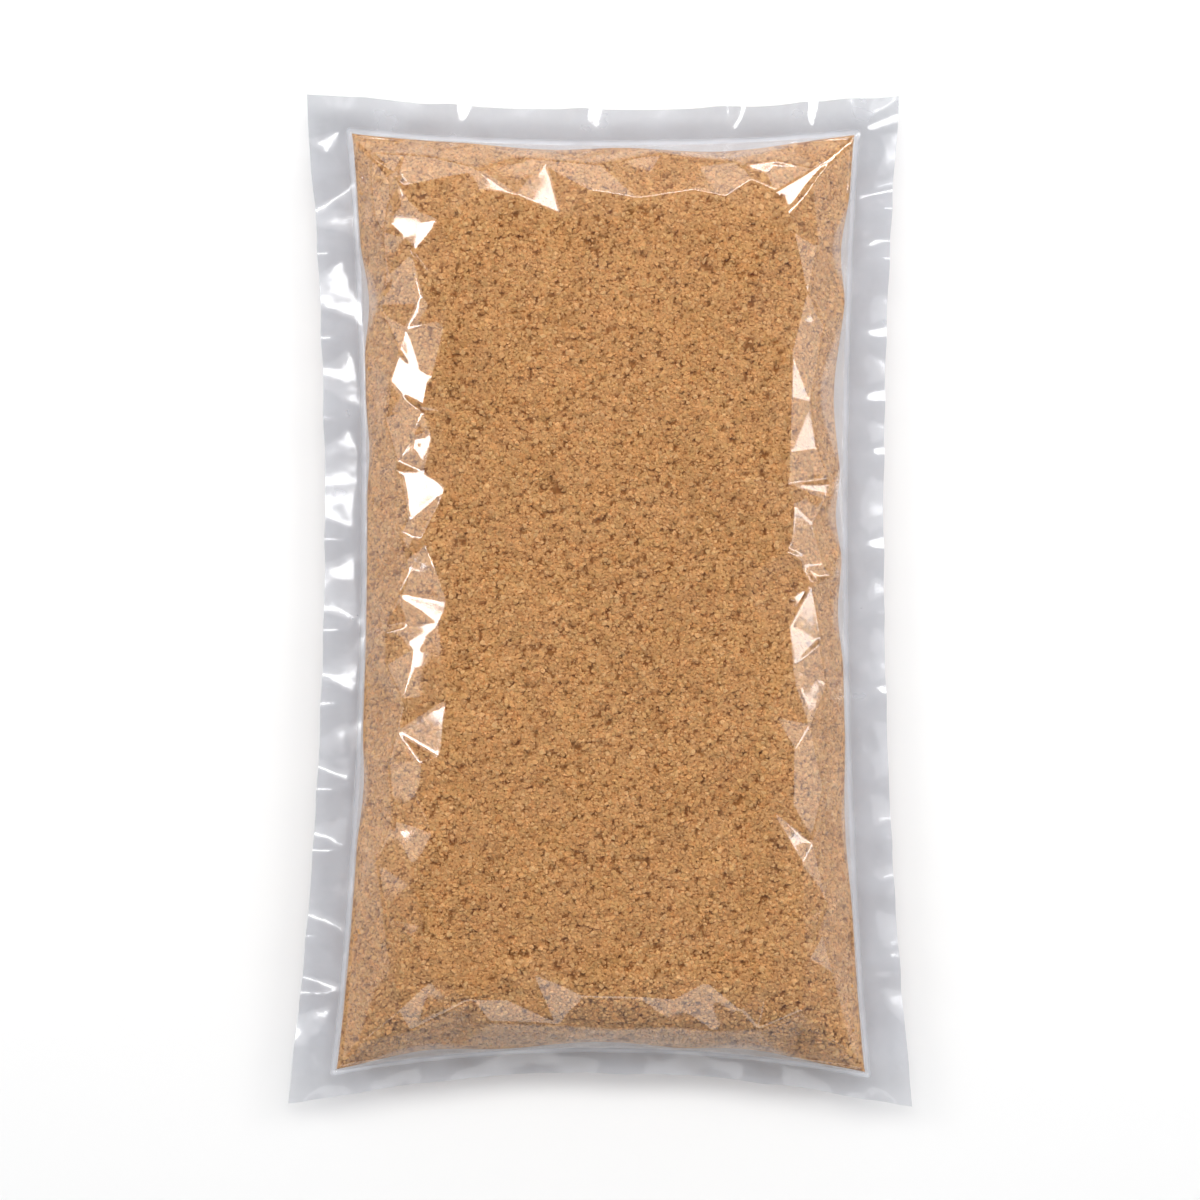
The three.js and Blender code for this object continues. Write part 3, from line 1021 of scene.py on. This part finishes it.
def mix_material(name, rgb, painted_pit_shade=False):
    """Dry crumb: broad mottling, a different shade from crumb to crumb, and a fine grain."""
    material, tree = new_material(name)
    place = object_place(tree)
    broad = noise_value(tree, place, PATCH_FINENESS, 4.0)
    shades = (scaled(rgb, PATCH_DARK), rgb, scaled(rgb, PATCH_LIGHT))
    mottled = ramp_node(tree, broad, zip(PATCH_STOPS, shades))
    cells = add_node(
        tree, "ShaderNodeTexVoronoi",
        {"Vector": place, "Scale": CRUMB_CELLS, "Randomness": 1.0})
    draw = add_node(tree, "ShaderNodeSeparateColor", {0: cells.outputs["Color"]})
    shade = map_range(tree, draw.outputs[0], (0.0, 1.0), (1 - SPECKLE, 1 + SPECKLE))
    hue = ramp_node(tree, draw.outputs[1], CRUMB_HUES)
    fine = noise_value(tree, place, GRAIN_FINENESS, 3.0)
    grain = map_range(tree, fine, NOISE_ENDS, GRAIN_SHADES)
    strength = math_node(tree, "MULTIPLY", shade, grain)
    tinted = add_node(
        tree, "ShaderNodeVectorMath", {0: mottled.outputs["Color"], "Scale": strength},
        operation="SCALE")
    tinted = add_node(
        tree, "ShaderNodeVectorMath", {0: tinted.outputs[0], 1: hue.outputs["Color"]},
        operation="MULTIPLY")
    # painted shade: the pits and the fine noise's chinks are darkened, where shade would fall
    # between crumbs
    if painted_pit_shade:
        chink_shade = map_range(tree, fine, CHINK_SHADE_ENDS)
        depth = math_node(tree, "ADD", mesh_value(tree, "hollow"), chink_shade, use_clamp=True)
        shadow = ramp_node(tree, depth, HOLLOW_SHADOW)
        tinted = add_node(
            tree, "ShaderNodeVectorMath", {0: tinted.outputs[0], 1: shadow.outputs["Color"]},
            operation="MULTIPLY")
    bump = add_node(
        tree, "ShaderNodeBump", {"Height": fine, "Strength": 0.5, "Distance": 0.0006})
    surface = add_node(
        tree, "ShaderNodeBsdfPrincipled",
        {"Base Color": tinted.outputs[0], "Roughness": 0.85, "Specular IOR Level": 0.25,
         "Normal": bump.outputs[0]})
    finish_material(tree, surface)
    return material


def plain_material(name, rgb, roughness):
    material, tree = new_material(name)
    surface = add_node(
        tree, "ShaderNodeBsdfPrincipled",
        {"Base Color": opaque(rgb), "Roughness": roughness, "Specular IOR Level": 0.2})
    finish_material(tree, surface)
    return material


# how milky and how rough the film is, and the rim, whose two films also scatter more of the light
FILM_MILK, FILM_ROUGHNESS = 0.012, 0.07
RIM_MILK, RIM_ROUGHNESS, RIM_GLOSS, RIM_SEAM_LINE = 0.16, 0.13, 0.75, 0.30


def piece_material(scene, name):
    """The material of the piece with this name."""
    film, mix = scene.pouch_film, scene.pouch_mix
    title = name.replace("_", " ")
    if name == "packed_mix":
        # the packed mix gets painted shade in its pits and chinks
        return mix_material(title, mix.base, painted_pit_shade=True)
    if "crumbs" in name:
        return mix_material(title, getattr(mix, name.split("_")[-1]))
    if name == "welded_rim":
        # the rim's tints are partly its two films' own and partly painted shade
        return film_material(
            title, film.side_tint, film.veil, RIM_MILK, film.gloss * RIM_GLOSS, RIM_ROUGHNESS,
            seam_line=RIM_SEAM_LINE,
            tints_and_shade_along=(film.near_tint, film.side_tint, film.side_tint, film.far_tint))
    haze = film.haze if name == "upper_film" else 0.0
    return film_material(
        title, film.tint, film.veil, FILM_MILK, film.gloss, FILM_ROUGHNESS, haze=haze)


def dress(thing):
    """Gives a finished piece its material, sets it on its body and hides the CAD part."""
    thing.data.materials.clear()
    thing.data.materials.append(piece_material(bpy.context.scene, thing.name))
    for face in thing.data.polygons:
        face.material_index = 0
    only(thing)
    bpy.ops.object.shade_smooth()
    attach(thing, BODY)
    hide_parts(CAD_NODE)


# ---- pieces ----


def split_off(thing, name, wanted):
    """Separates the faces that wanted(face) picks into a new object."""
    pick_faces(thing, wanted)
    bpy.ops.mesh.separate(type="SELECTED")
    bpy.ops.object.mode_set(mode="OBJECT")
    part = next(o for o in bpy.context.selected_objects if o is not thing)
    part.name = part.data.name = name
    return part


class POUCH_OT_film(bpy.types.Operator):
    """Cut the film flat, lay it over the filled form and let it fold"""

    bl_idname = "pouch.film"
    bl_label = "Film pouch"

    def execute(self, context):
        scene = context.scene
        form = PouchForm(scene)
        pattern = Pattern(scene, form)
        pouch = pattern_mesh(pattern)
        lay_over_form(pouch, pattern, form)
        simulate_film(pouch, pattern, scene.pouch_film)
        return {"FINISHED"}


def core_from_film(pouch):
    """A copy of the film inside its seams."""
    only(pouch)
    bpy.ops.object.duplicate()
    core = bpy.context.object
    core.name = "packed_mix"
    depths = read_attribute(core.data, "seam_distance")
    rim = split_off(
        core, "spare_rim", lambda face: any(depths[k] < -SEAM_SLACK for k in face.vertices))
    bpy.data.objects.remove(rim)
    return core


def gap_width(side, place):
    """How wide the gap beside a seam is at a place along the side."""
    return sum(
        tent * width * MM
        for middle, half, width in GAPS[side]
        for tent, _ in fold_profile(place, [(middle * MM, half * MM)]))


def stay_back(core, form, mix):
    """Draws the core in from the seams, most of all where the film spans a gap."""
    mesh = core.data
    places = coordinates(mesh)
    for place in places:
        u, v = form.unplan(place[0], place[1])
        for side, distance in form.distances(u, v).items():
            near = smooth_step(1 - distance / mix.gap_reach)
            if near <= 0:
                continue
            axis = 0 if side in UPRIGHT_SIDES else 1
            gap = mix.edge_gap + gap_width(side, place[1 - axis]) * mix.gap_share
            inwards = 1 if side in ("left", "bottom") else -1
            place[axis] += inwards * gap * near
    set_coordinates(mesh, places)


# Close to a seam the mix fills the film: from this share of the film gap, over this reach.
SEAM_GAP_SHARE, SEAM_GAP_REACH = 0.15, 0.010
FOLD_WIDTH = 0.005  # folds narrower than this are bridged by the mix


def fill_under_folds(core, pattern, mix, step):
    """The mix doesn't follow outward folds, and lies the film gap inside the film."""
    mesh = core.data
    columns, rows = read_attribute(mesh, "column", int), read_attribute(mesh, "row", int)
    under = read_attribute(mesh, "under", int)
    on_seam = read_attribute(mesh, "seam_distance") <= SEAM_SLACK
    places = coordinates(mesh)
    for is_under in (0, 1):
        chosen = (under == is_under) | on_seam
        grid = np.zeros((len(pattern.v), len(pattern.u)))
        grid[:] = places[on_seam][:, 2].mean()
        grid[rows[chosen], columns[chosen]] = places[chosen][:, 2]
        level = blurred(grid, FOLD_WIDTH / step)[rows[chosen], columns[chosen]]
        own = places[chosen][:, 2]
        places[chosen, 2] = np.maximum(own, level) if is_under else np.minimum(own, level)
    set_coordinates(mesh, places)
    depths = read_attribute(mesh, "seam_distance")
    gaps = mix.film_gap * between(SEAM_GAP_SHARE, 1, np.clip(depths / SEAM_GAP_REACH, 0, 1))
    set_coordinates(mesh, places - vertex_normals(mesh) * gaps[:, None])


# The noise above which a pit starts, how much more of it makes a full pit, and where that noise is
# read, so that pits don't lie in step with lumps.
PIT_FROM, PIT_RISE, PIT_SHIFT = 0.25, 0.22, Vector((5, 3, 1))
RELIEF_REACH = 0.006  # from the seam in to where the relief has its full height


def carve_relief(core, mix):
    """Soft lumps and small pits, whose depth the material reads to paint shade into them."""
    mesh = core.data
    places, normals = coordinates(mesh), vertex_normals(mesh)
    hollows = np.zeros(len(places))
    depths = read_attribute(mesh, "seam_distance")
    for index, (place, normal, depth) in enumerate(zip(places, normals, depths)):
        spot = Vector(place)
        lump = noise.noise(spot / mix.lump_size) * mix.lump_height
        pit = noise.noise(spot / mix.hollow_size + PIT_SHIFT)
        hollow = smooth_step((pit - PIT_FROM) / PIT_RISE)
        hollows[index] = hollow
        relief = lump - hollow * mix.hollow_depth
        place += normal * relief * smooth_step(depth / RELIEF_REACH)
    set_coordinates(mesh, places)
    write_attribute(mesh, "hollow", hollows)


class POUCH_OT_mix(bpy.types.Operator):
    """Fill the pouch with packed mix that follows the film from inside"""

    bl_idname = "pouch.mix"
    bl_label = "Packed mix"

    def execute(self, context):
        scene = context.scene
        mix = scene.pouch_mix
        form = PouchForm(scene)
        core = core_from_film(bpy.data.objects["pouch_film"])
        under = read_attribute(core.data, "under", int)
        inner = read_attribute(core.data, "seam_distance") > SEAM_SLACK
        for upper in (True, False):
            crease_film(
                core.data, form, scene.pouch_film, upper, np.nonzero(inner & (under != upper))[0])
        fill_under_folds(core, Pattern(scene, form), mix, scene.pouch_film.weave_step)
        stay_back(core, form, mix)
        only(core)
        finer = core.modifiers.new("Finer", "SUBSURF")
        finer.levels = finer.render_levels = 1
        apply_modifiers(core)
        carve_relief(core, mix)
        dress(core)
        return {"FINISHED"}


# each crumb shape's height, and the first one's width and what each next one adds to it, as shares
# of its length
CRUMB_FLATNESS = (0.80, 0.62, 0.50, 0.40, 0.70)
CRUMB_WIDTH, CRUMB_WIDTH_STEP = 0.66, 0.07


def crumb_shapes(mix, coarse):
    """Rough crumbs of unit length, from chunky to flaky, in a collection of their own."""
    shapes = bpy.data.collections.new("crumb shapes")
    bpy.context.scene.collection.children.link(shapes)
    for index, flatness in enumerate(CRUMB_FLATNESS):
        if coarse:
            bpy.ops.mesh.primitive_ico_sphere_add(subdivisions=1, radius=0.5)
        else:
            bpy.ops.mesh.primitive_uv_sphere_add(segments=4, ring_count=2, radius=0.5)
        crumb = bpy.context.object
        bpy.ops.object.mode_set(mode="EDIT")
        bpy.ops.transform.vertex_random(offset=mix.crumb_roughness, seed=mix.seed + index)
        width = CRUMB_WIDTH + index * CRUMB_WIDTH_STEP
        bpy.ops.transform.resize(value=(1.0, width, flatness))
        bpy.ops.object.mode_set(mode="OBJECT")
        for collection in crumb.users_collection:
            collection.objects.unlink(crumb)
        shapes.objects.link(crumb)
    return shapes


DENSEST = 4e6  # crumbs to the square metre before the least distance thins them
# Where the crumbs thin out: how far down the surface faces, how deep a pit is and the share of
# crumbs there, and how near the seam is.
UNDERSIDE_ENDS = (-0.55, -0.15)
PIT_ENDS, PIT_CRUMBS = (0.3, 1.0), (1.0, 0.15)
SEAM_ENDS = (0.0020, 0.0045)
TILT = 0.7  # how far a crumb tips out of the surface
SMALL_OFTEN = 1.8  # over 1, small crumbs are commoner than large ones


def random_value(tree, kind, seed):
    node = add_node(tree, "FunctionNodeRandomValue", data_type=kind)
    node.inputs["Seed"].default_value = seed
    return node


def kept_number(tree, name):
    """What a number kept on the mesh's points is, for geometry nodes."""
    node = add_node(
        tree, "GeometryNodeInputNamedAttribute", {"Name": name}, data_type="FLOAT")
    return node.outputs["Attribute"]


def scatter_tree(shapes, spacing, sizes, share, seed):
    """Geometry nodes that scatter the shapes over a surface, and keep the given share of them."""
    tree = bpy.data.node_groups.new("scatter crumbs", "GeometryNodeTree")
    tree.interface.new_socket("Geometry", in_out="INPUT", socket_type="NodeSocketGeometry")
    tree.interface.new_socket("Geometry", in_out="OUTPUT", socket_type="NodeSocketGeometry")
    surface = add_node(tree, "NodeGroupInput")
    normal = add_node(tree, "GeometryNodeInputNormal").outputs[0]
    upward = add_node(tree, "ShaderNodeSeparateXYZ", {0: normal}).outputs["Z"]
    facing = map_range(tree, upward, UNDERSIDE_ENDS)
    solid = map_range(tree, kept_number(tree, "hollow"), PIT_ENDS, PIT_CRUMBS)
    inside = map_range(tree, kept_number(tree, "seam_distance"), SEAM_ENDS)
    density = math_node(tree, "MULTIPLY", facing, solid)
    density = math_node(tree, "MULTIPLY", density, inside)
    points = add_node(
        tree, "GeometryNodeDistributePointsOnFaces",
        {"Mesh": surface.outputs[0], "Distance Min": spacing, "Density Max": DENSEST,
         "Density Factor": density, "Seed": seed},
        distribute_method="POISSON")
    drawn = random_value(tree, "FLOAT", seed + 1).outputs[1]
    above = add_node(
        tree, "FunctionNodeCompare", {0: drawn, 1: share[0]}, operation="GREATER_EQUAL")
    below = add_node(
        tree, "FunctionNodeCompare", {0: drawn, 1: share[1]}, operation="LESS_THAN")
    wanted = add_node(
        tree, "FunctionNodeBooleanMath", {0: above.outputs[0], 1: below.outputs[0]},
        operation="AND")
    shape_info = add_node(
        tree, "GeometryNodeCollectionInfo",
        {"Collection": shapes, "Separate Children": True, "Reset Children": True})
    spin = random_value(tree, "FLOAT_VECTOR", seed + 2)
    spin.inputs[0].default_value = (-TILT, -TILT, 0.0)
    spin.inputs[1].default_value = (TILT, TILT, math.tau)
    turned = add_node(
        tree, "FunctionNodeRotateRotation",
        {0: points.outputs["Rotation"], 1: spin.outputs[0]}, rotation_space="LOCAL")
    growth = random_value(tree, "FLOAT", seed + 3).outputs[1]
    scale = map_range(tree, math_node(tree, "POWER", growth, SMALL_OFTEN), (0.0, 1.0), sizes)
    placed = add_node(
        tree, "GeometryNodeInstanceOnPoints",
        {"Points": points.outputs["Points"], "Selection": wanted.outputs[0],
         "Instance": shape_info.outputs[0], "Pick Instance": True,
         "Rotation": turned.outputs[0], "Scale": scale})
    real = add_node(tree, "GeometryNodeRealizeInstances", {0: placed.outputs[0]})
    result = add_node(tree, "NodeGroupOutput")
    tree.links.new(real.outputs[0], result.inputs[0])
    return tree


# each kind of crumb: whether it is coarse, and its share of the coarse or of the fine crumbs
CRUMB_KINDS = {
    "crumbs_gold": (True, 0.00, 0.30),
    "crumbs_tan": (True, 0.30, 0.58),
    "crumbs_pale": (True, 0.58, 0.80),
    "crumbs_brown": (True, 0.80, 1.00),
    "fine_crumbs_gold": (False, 0.00, 0.50),
    "fine_crumbs_brown": (False, 0.50, 1.00),
}


def scatter_crumbs(core, mix):
    shapes = {coarse: crumb_shapes(mix, coarse) for coarse in (True, False)}
    layouts = {
        True: (mix.crumb_spacing, (mix.crumb_small, mix.crumb_large), mix.seed),
        False: (mix.fine_spacing, (mix.fine_small, mix.fine_large), mix.seed + 50),
    }
    for name, (coarse, *share) in CRUMB_KINDS.items():
        only(core)
        bpy.ops.object.duplicate()
        crumbs = bpy.context.object
        crumbs.name = crumbs.data.name = name
        spacing, sizes, seed = layouts[coarse]
        scatter = crumbs.modifiers.new("Scatter", "NODES")
        scatter.node_group = scatter_tree(shapes[coarse], spacing, sizes, share, seed)
        apply_modifiers(crumbs)
        dress(crumbs)
        bpy.ops.object.shade_flat()
    for group in shapes.values():
        for crumb in list(group.objects):
            bpy.data.objects.remove(crumb)
        bpy.data.collections.remove(group)


class POUCH_OT_crumbs(bpy.types.Operator):
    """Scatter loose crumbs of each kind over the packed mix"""

    bl_idname = "pouch.crumbs"
    bl_label = "Loose crumbs"

    def execute(self, context):
        scatter_crumbs(bpy.data.objects["packed_mix"], context.scene.pouch_mix)
        return {"FINISHED"}


# how fine each set of the rim's wrinkles is and how high, as shares of the set sizes
WRINKLE_WAVES = ((0.45, 1.6), (1.0, 1.0), (2.1, 0.4))
WRINKLE_FADE = 0.003  # from the seam out to where the wrinkles have their full height


def wrinkle(rim, film):
    """Fine wrinkles in the welded rim that fade towards the seam."""
    places = coordinates(rim.data)
    depths = read_attribute(rim.data, "seam_distance")
    for place, depth in zip(places, depths):
        spot = Vector(place) / film.wrinkle_size
        height = sum(noise.noise(spot * fineness) * share for fineness, share in WRINKLE_WAVES)
        place[2] += height * film.wrinkle * min(max(-depth / WRINKLE_FADE, 0), 1)
    set_coordinates(rim.data, places)


HAZE_FADE = 0.0012  # how softly the haze ends beyond a gap


def haze_gaps(thing, form):
    """Marks the film that spans a gap, for its hazy look."""
    haze = []
    for x, y, _ in coordinates(thing.data):
        marks = []
        for side, distance in form.distances(*form.unplan(x, y)).items():
            gap = gap_width(side, y if side in UPRIGHT_SIDES else x)
            marks.append(smooth_step(1 + (gap - distance) / HAZE_FADE))
        haze.append(max(marks))
    write_attribute(thing.data, "haze", haze)


FINE_SHOULDER = (0.008, 0.031)  # from the seam in


def refine_shoulder(thing):
    """Halves the mesh step on the shoulder, where creases are sharp."""
    depths = read_attribute(thing.data, "seam_distance")
    low, high = FINE_SHOULDER
    pick_faces(thing, lambda face: all(low < depths[k] < high for k in face.vertices))
    bpy.ops.mesh.subdivide(number_cuts=1)
    bpy.ops.object.mode_set(mode="OBJECT")


class POUCH_OT_finish_film(bpy.types.Operator):
    """Part the film into its upper sheet, under sheet and welded rim, and finish each"""

    bl_idname = "pouch.finish_film"
    bl_label = "Film finish"

    def execute(self, context):
        pouch = bpy.data.objects["pouch_film"]
        depths = read_attribute(pouch.data, "seam_distance")
        rim = split_off(
            pouch, "welded_rim",
            lambda face: any(depths[k] < -SEAM_SLACK for k in face.vertices))
        depths = read_attribute(pouch.data, "seam_distance")
        under = read_attribute(pouch.data, "under", int)
        inner = depths > SEAM_SLACK
        under_film = split_off(
            pouch, "under_film",
            lambda face: any(under[k] and inner[k] for k in face.vertices))
        pouch.name = pouch.data.name = "upper_film"
        for thing, levels in ((pouch, 1), (under_film, 1), (rim, 2)):
            finer = thing.modifiers.new("Finer", "SUBSURF")
            finer.levels = finer.render_levels = levels
            finer.boundary_smooth = "PRESERVE_CORNERS"
            apply_modifiers(thing)
        form, film = PouchForm(context.scene), context.scene.pouch_film
        refine_shoulder(pouch)
        for thing, upper in ((pouch, True), (under_film, False)):
            inner = read_attribute(thing.data, "seam_distance") > SEAM_SLACK
            crease_film(thing.data, form, film, upper, np.nonzero(inner)[0])
            places = coordinates(thing.data)
            places[:, 2] = np.maximum(places[:, 2], form.table_gap)
            set_coordinates(thing.data, places)
        haze_gaps(pouch, form)
        wrinkle(rim, film)
        for thing in (pouch, under_film, rim):
            dress(thing)
        return {"FINISHED"}


# ---- stage ----

# The soft lights that fall on the bag, and that the film doesn't mirror: place, width and height,
# the setting that holds the power in watts, and the share of it that this light has.
SOFT_LIGHTS = (
    ("wide light overhead", (0.0, 0.8, 1.9), (1.4, 1.0), "overhead", 1.0),
    ("side light left", (-1.2, 0.6, 1.3), (0.5, 0.8), "side", 0.85),
    ("side light right", (1.2, 0.6, 1.3), (0.5, 0.8), "side", 1.0),
)

# The lights that the film mirrors: place, width and height, and how many times as bright as
# white paper each one looks. They stand for reflectors, and don't light the mix.
MIRRORED_LIGHTS = (
    ("tall strip left", (-0.78, 0.10, 0.82), (0.10, 0.60), 13.0),
    ("glow round the strip left", (-0.95, 0.10, 0.70), (0.42, 1.20), 1.5),
    ("tall strip right", (1.05, 0.05, 0.52), (0.10, 0.60), 6.5),
    ("glow round the strip right", (1.10, 0.05, 0.52), (0.44, 1.00), 1.6),
    ("strip past the top end", (0.15, 1.25, 0.55), (0.50, 0.10), 9.0),
    ("strip past the top right corner", (0.80, 0.80, 0.62), (0.20, 0.90), 13.0),
    ("glow past the top end", (0.00, 1.35, 0.52), (1.10, 0.44), 1.8),
    ("glow past the bottom end", (0.00, -1.15, 0.70), (1.10, 0.40), 1.6),
)

# upward part of the direction, from 0 level to 1 straight up, and the tent's brightness there
TENT_BRIGHTNESS = ((0.0, 1.0), (0.58, 0.95), (0.72, 0.50), (0.93, 0.40), (0.985, 0.06))


FLOOR_LEVEL = -0.0003  # just clear of the bag
BAG_MIDDLE = Vector((0, 0, 0.02))


def add_light(name, place, size, power):
    """A soft rectangular light that faces the bag. size is its width and height."""
    bpy.ops.object.light_add(type="AREA", location=place)
    light = bpy.context.object
    light.name = name
    light.data.shape = "RECTANGLE"
    light.data.size, light.data.size_y = size
    light.data.energy = power
    towards = BAG_MIDDLE - Vector(place)
    light.rotation_euler = towards.to_track_quat("-Z", "Y").to_euler()
    return light


def light_tent(strength):
    """Even light from all sides that darkens straight above, where the camera looks in."""
    world = bpy.data.worlds.new("light tent")
    world.use_nodes = True
    tree = world.node_tree
    direction = add_node(tree, "ShaderNodeTexCoord").outputs["Generated"]
    upward = add_node(tree, "ShaderNodeSeparateXYZ", {0: direction}).outputs["Z"]
    grey = ramp_node(
        tree, upward, [(position, (level,) * 3) for position, level in TENT_BRIGHTNESS])
    background = tree.nodes["Background"]
    tree.links.new(grey.outputs["Color"], background.inputs["Color"])
    background.inputs["Strength"].default_value = strength
    return world


class POUCH_OT_stage(bpy.types.Operator):
    """Add the floor, the soft lights and the camera that looks straight down"""

    bl_idname = "pouch.stage"
    bl_label = "Stage"

    def execute(self, context):
        scene = context.scene
        stage, sizes = scene.pouch_stage, scene.pouch_sizes
        bpy.ops.object.select_all(action="DESELECT")
        bpy.ops.mesh.primitive_plane_add(size=stage.floor_size, location=(0, 0, FLOOR_LEVEL))
        floor = context.object
        floor.name = "floor"
        floor.data.materials.append(plain_material("pale floor", stage.floor, 0.9))

        for name, place, size, setting, share in SOFT_LIGHTS:
            light = add_light(name, place, size, getattr(stage, setting) * share)
            light.visible_glossy = False
        for name, place, size, brightness in MIRRORED_LIGHTS:
            power = brightness * stage.mirrored * math.pi * size[0] * size[1]
            add_light(name, place, size, power).visible_diffuse = False

        scene.world = light_tent(stage.tent)

        height = sizes.seam_height + stage.camera_height
        bpy.ops.object.camera_add(location=(0, 0, height), rotation=(0, 0, 0))
        camera = context.object
        camera.data.sensor_width = 36
        camera.data.lens = camera.data.sensor_width * stage.camera_height / stage.view_width
        camera.data.clip_end = 20
        scene.camera = camera
        scene.view_settings.view_transform = "Standard"
        return {"FINISHED"}


class POUCH_PT_panel(bpy.types.Panel):
    """The steps that build the pouch, in order, and the settings"""

    bl_idname = "POUCH_PT_panel"
    bl_label = "Breading pouch"
    bl_space_type = "VIEW_3D"
    bl_region_type = "UI"
    bl_category = "Breading pouch"

    def draw(self, context):
        for operator in OPERATORS:
            self.layout.operator(operator.bl_idname)
        for name, group in SETTINGS.items():
            box = self.layout.box()
            for key in group.__annotations__:
                box.prop(getattr(context.scene, name), key)


OPERATORS = (
    POUCH_OT_film, POUCH_OT_mix, POUCH_OT_crumbs, POUCH_OT_finish_film, POUCH_OT_stage,
)
CLASSES = (*SETTINGS.values(), *OPERATORS, POUCH_PT_panel)


def register():
    for item in CLASSES:
        bpy.utils.register_class(item)
    for name, group in SETTINGS.items():
        setattr(bpy.types.Scene, name, bpy.props.PointerProperty(type=group))


def unregister():
    for name in SETTINGS:
        delattr(bpy.types.Scene, name)
    for item in reversed(CLASSES):
        bpy.utils.unregister_class(item)


def main():
    register()
    bpy.ops.pouch.film()
    bpy.ops.pouch.mix()
    bpy.ops.pouch.crumbs()
    bpy.ops.pouch.finish_film()
    bpy.ops.pouch.stage()


if __name__ == "__main__":
    main()
